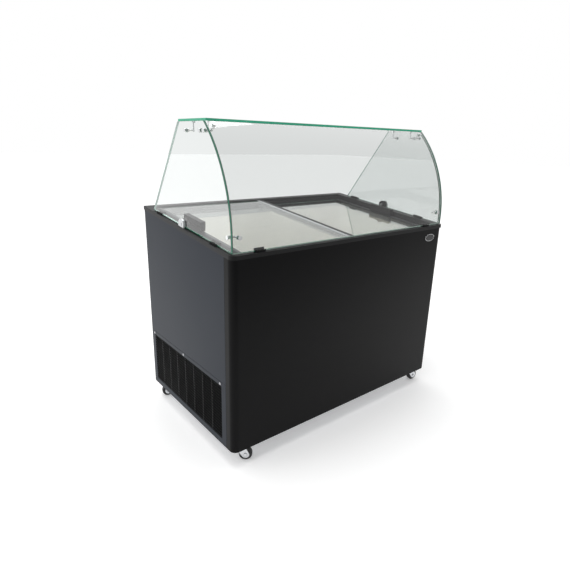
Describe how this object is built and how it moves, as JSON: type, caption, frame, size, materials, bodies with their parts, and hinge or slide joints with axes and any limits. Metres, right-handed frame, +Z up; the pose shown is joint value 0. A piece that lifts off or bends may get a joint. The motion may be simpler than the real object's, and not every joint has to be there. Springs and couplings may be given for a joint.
{
  "type": "display chest freezer with curved glass canopy",
  "caption": "Ice cream display chest freezer: sloping top with sliding glass lids under a curved glass canopy and shelf, side grille, and swivel casters",
  "frame": {"origin": "on the floor, under the centre of the cabinet's footprint", "axes": "+X to the customer's right, -Y towards the customer (the curved glass side), +Y towards the server, +Z up"},
  "size_m": [1.12, 0.66, 1.184],
  "materials": {
    "cabinet_black": "satin black powder coat",
    "cabinet_slate": "satin slate powder coat",
    "galvanised": "galvanised sheet",
    "black_plastic": "fine-grained black moulding",
    "grey_plastic": "matt grey moulding",
    "liner_white": "embossed off-white coated sheet",
    "foam": "rigid foam",
    "copper_tube": "drawn copper",
    "aluminium": "anodised extrusion",
    "lid_glass": "clear tempered glass",
    "canopy_glass": "clear tempered glass with green edges",
    "chrome": "polished",
    "satin_silver": "satin silver die casting",
    "zinc": "bright zinc plating",
    "compressor_black": "gloss black enamel",
    "rubber": "black rubber",
    "wheel_black": "black nylon",
    "lamp_green": "clear green lens",
    "badge": "plain gloss black oval plate"
  },
  "bodies": {
    "root": {"badge_plate": "badge", "base_pan": "galvanised", "breaker_strip": "grey_plastic", "cable_gland": "black_plastic", "caster_bolts": "zinc", "caster_plates": "zinc", "clamp_inner_jaws": "black_plastic", "clamp_outer_jaws": "satin_silver", "clamp_screws": "satin_silver", "compartment_partition": "galvanised", "compressor": "compressor_black", "compressor_grommets": "rubber", "condenser_fins": "compressor_black", "condenser_tube": "compressor_black", "control_tray": "black_plastic", "cover_screws": "zinc", "drain_fitting": "grey_plastic", "evaporator_coil": "copper_tube", "fan_motor": "compressor_black", "fan_shroud": "galvanised", "front_glass": "canopy_glass", "front_panel": "cabinet_black", "glass_connectors": "chrome", "grille_frame": "cabinet_slate", "grille_louvre": "black_plastic", "indicator_lamp": "lamp_green", "inner_liner": "liner_white", "insulation_foam": "foam", "left_side_glass": "canopy_glass", "left_side_panel": "cabinet_slate", "lid_frame": "black_plastic", "pane_clips": "black_plastic", "rear_panel": "cabinet_black", "right_side_glass": "canopy_glass", "right_side_panel": "cabinet_slate", "service_cover": "cabinet_black", "shelf_glass": "canopy_glass", "top_collar": "black_plastic"},
    "left_lid": {"left_lid_glass": "lid_glass", "left_lid_profiles": "aluminium", "left_lid_handle": "black_plastic", "left_lid_seal": "black_plastic"},
    "right_lid": {"right_lid_glass": "lid_glass", "right_lid_profiles": "aluminium", "right_lid_handle": "black_plastic"},
    "fan": {"fan_blade": "black_plastic"},
    "thermostat": {"thermostat_knob": "black_plastic"},
    "rocker": {"power_rocker": "black_plastic"},
    "swivel_front_left": {"front_left_fork": "zinc"},
    "wheel_front_left": {"front_left_hub": "wheel_black", "front_left_tyre": "rubber"},
    "swivel_front_right": {"front_right_fork": "zinc"},
    "wheel_front_right": {"front_right_hub": "wheel_black", "front_right_tyre": "rubber"},
    "swivel_rear_left": {"rear_left_fork": "zinc"},
    "wheel_rear_left": {"rear_left_hub": "wheel_black", "rear_left_tyre": "rubber"},
    "swivel_rear_right": {"rear_right_fork": "zinc"},
    "wheel_rear_right": {"rear_right_hub": "wheel_black", "rear_right_tyre": "rubber"}
  },
  "joints": [
    {"name": "left_lid_slide", "type": "slide", "parent": "root", "child": "left_lid", "axis": [1, 0, 0], "range_m": [0, 0.46]},
    {"name": "right_lid_slide", "type": "slide", "parent": "root", "child": "right_lid", "axis": [1, 0, 0], "range_m": [-0.46, 0]},
    {"name": "fan_spin", "type": "hinge", "parent": "root", "child": "fan", "pos_m": [-0.4785, -0.095, 0.1895], "axis": [1, 0, 0], "continuous": true},
    {"name": "thermostat_turn", "type": "hinge", "parent": "root", "child": "thermostat", "pos_m": [-0.4825, 0.3145, 0.261], "axis": [0, -1, 0], "range_deg": [-135, 135]},
    {"name": "rocker_tip", "type": "hinge", "parent": "root", "child": "rocker", "pos_m": [-0.4135, 0.3015, 0.261], "axis": [1, 0, 0], "range_deg": [0, 16]},
    {"name": "front_left_swivel", "type": "hinge", "parent": "root", "child": "swivel_front_left", "pos_m": [-0.5, -0.282, 0.06], "axis": [0, 0, 1], "continuous": true},
    {"name": "front_left_roll", "type": "hinge", "parent": "swivel_front_left", "child": "wheel_front_left", "pos_m": [-0.48403, -0.29404, 0.025], "axis": [0.6018, 0.7986, 0], "continuous": true},
    {"name": "front_right_swivel", "type": "hinge", "parent": "root", "child": "swivel_front_right", "pos_m": [0.5, -0.282, 0.06], "axis": [0, 0, 1], "continuous": true},
    {"name": "front_right_roll", "type": "hinge", "parent": "swivel_front_right", "child": "wheel_front_right", "pos_m": [0.5198, -0.28478, 0.025], "axis": [0.1392, 0.9903, 0], "continuous": true},
    {"name": "rear_left_swivel", "type": "hinge", "parent": "root", "child": "swivel_rear_left", "pos_m": [-0.5, 0.282, 0.06], "axis": [0, 0, 1], "continuous": true},
    {"name": "rear_left_roll", "type": "hinge", "parent": "swivel_rear_left", "child": "wheel_rear_left", "pos_m": [-0.51932, 0.28718, 0.025], "axis": [-0.2588, -0.9659, 0], "continuous": true},
    {"name": "rear_right_swivel", "type": "hinge", "parent": "root", "child": "swivel_rear_right", "pos_m": [0.5, 0.282, 0.06], "axis": [0, 0, 1], "continuous": true},
    {"name": "rear_right_roll", "type": "hinge", "parent": "swivel_rear_right", "child": "wheel_rear_right", "pos_m": [0.48019, 0.28478, 0.025], "axis": [-0.1392, -0.9903, 0], "continuous": true}
  ]
}
